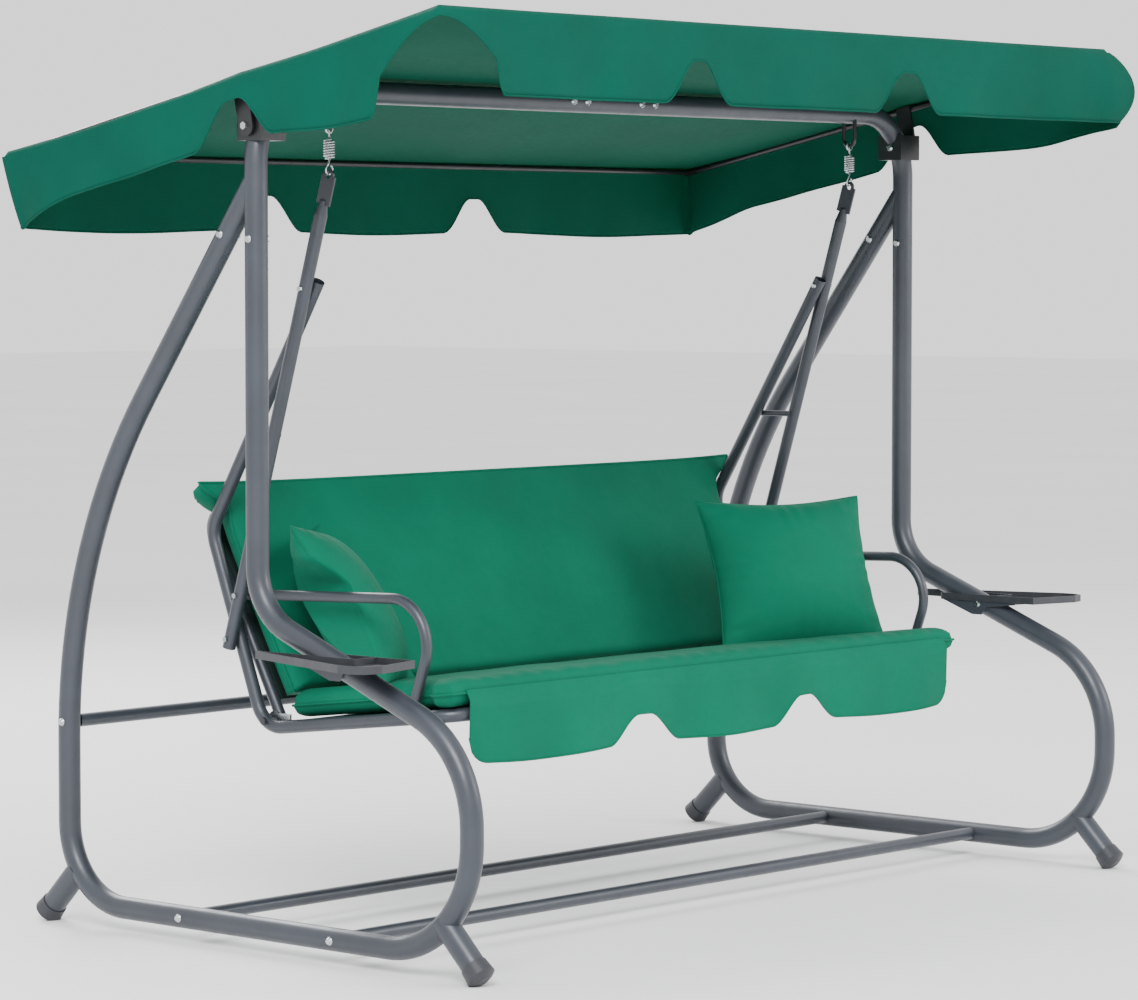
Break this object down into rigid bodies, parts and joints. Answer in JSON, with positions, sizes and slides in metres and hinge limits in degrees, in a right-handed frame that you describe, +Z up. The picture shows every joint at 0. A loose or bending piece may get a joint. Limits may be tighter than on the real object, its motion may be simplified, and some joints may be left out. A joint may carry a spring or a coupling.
{
  "type": "canopy swing bench",
  "caption": "Garden swing bench: a padded seat hung on springs in a bent tube frame, with side trays, armrests, scatter pillows and a tilting fabric canopy.",
  "frame": {"origin": "on the floor under the middle of the bench's box", "axes": "+Z up, +Y to the rear, +X along the bench towards its right end as seen from the front"},
  "size_m": [2.156, 1.2094, 1.6851],
  "materials": {
    "slate_frame": "semi-gloss powder coat",
    "zinc": "bright zinc plate",
    "black_plastic": "moulded, satin",
    "black_metal": "black satin paint",
    "sling_mesh": "woven coated mesh",
    "cushion_fabric": "plain weave polyester",
    "canopy_fabric": "coated plain weave polyester"
  },
  "bodies": {
    "root": {"top_bar_left": "slate_frame", "top_bar_right": "slate_frame", "top_bar_joiner": "slate_frame", "front_leg_left": "slate_frame", "front_leg_right": "slate_frame", "rear_leg_left": "slate_frame", "rear_leg_right": "slate_frame", "base_tube_left": "slate_frame", "base_tube_right": "slate_frame", "front_base_crossbar": "slate_frame", "rear_base_crossbar": "slate_frame", "rear_mid_crossbar": "slate_frame", "frame_bolts": "zinc", "foot_cap_front_left": "black_plastic", "foot_cap_front_right": "black_plastic", "foot_cap_rear_left": "black_plastic", "foot_cap_rear_right": "black_plastic", "tray_left": "black_plastic", "tray_right": "black_plastic", "tray_bracket_left": "slate_frame", "tray_bracket_right": "slate_frame", "tray_bolts": "zinc", "eye_left": "black_metal", "eye_right": "black_metal", "canopy_clamp_left": "black_metal", "canopy_clamp_right": "black_metal", "canopy_pivot_bolts": "zinc"},
    "springs": {"spring_left": "zinc", "spring_right": "zinc"},
    "seat": {"hanger_left": "slate_frame", "hanger_right": "slate_frame", "side_tube_left": "slate_frame", "side_tube_right": "slate_frame", "hanger_rung_left": "slate_frame", "hanger_rung_right": "slate_frame", "seat_front_rail": "slate_frame", "seat_rear_rail": "slate_frame", "armrest_left": "slate_frame", "armrest_right": "slate_frame", "seat_bolts": "zinc", "seat_sling": "sling_mesh", "seat_pad": "cushion_fabric", "recline_bracket_left": "zinc", "recline_bracket_right": "zinc", "recline_bolts": "black_plastic", "pillow_left": "cushion_fabric", "pillow_right": "cushion_fabric"},
    "backrest": {"backrest_frame": "slate_frame", "backrest_sling": "sling_mesh", "back_pad": "cushion_fabric"},
    "canopy": {"canopy_plate_left": "black_metal", "canopy_plate_right": "black_metal", "canopy_arm_left": "black_metal", "canopy_arm_right": "black_metal", "canopy_bars": "black_metal", "canopy_roof": "canopy_fabric", "canopy_front_valance": "canopy_fabric", "canopy_rear_valance": "canopy_fabric", "canopy_left_valance": "canopy_fabric", "canopy_right_valance": "canopy_fabric"}
  },
  "joints": [
    {"name": "seat_swing", "type": "hinge", "parent": "root", "child": "springs", "pos_m": [0, -0.03691, 1.495], "axis": [1, 0, 0], "range_deg": [-15, 15]},
    {"name": "seat_bounce", "type": "slide", "parent": "springs", "child": "seat", "axis": [0, 0, 1], "range_m": [-0.025, 0], "stiffness_N_per_m": 60000, "springref_m": 0.00625, "deforming": ["spring_left", "spring_right"]},
    {"name": "backrest_recline", "type": "hinge", "parent": "seat", "child": "backrest", "pos_m": [0, 0.1511, 0.39], "axis": [-1, 0, 0], "range_deg": [0, 35]},
    {"name": "canopy_tilt", "type": "hinge", "parent": "root", "child": "canopy", "pos_m": [0, -0.03691, 1.487], "axis": [1, 0, 0], "range_deg": [-10, 25]}
  ]
}
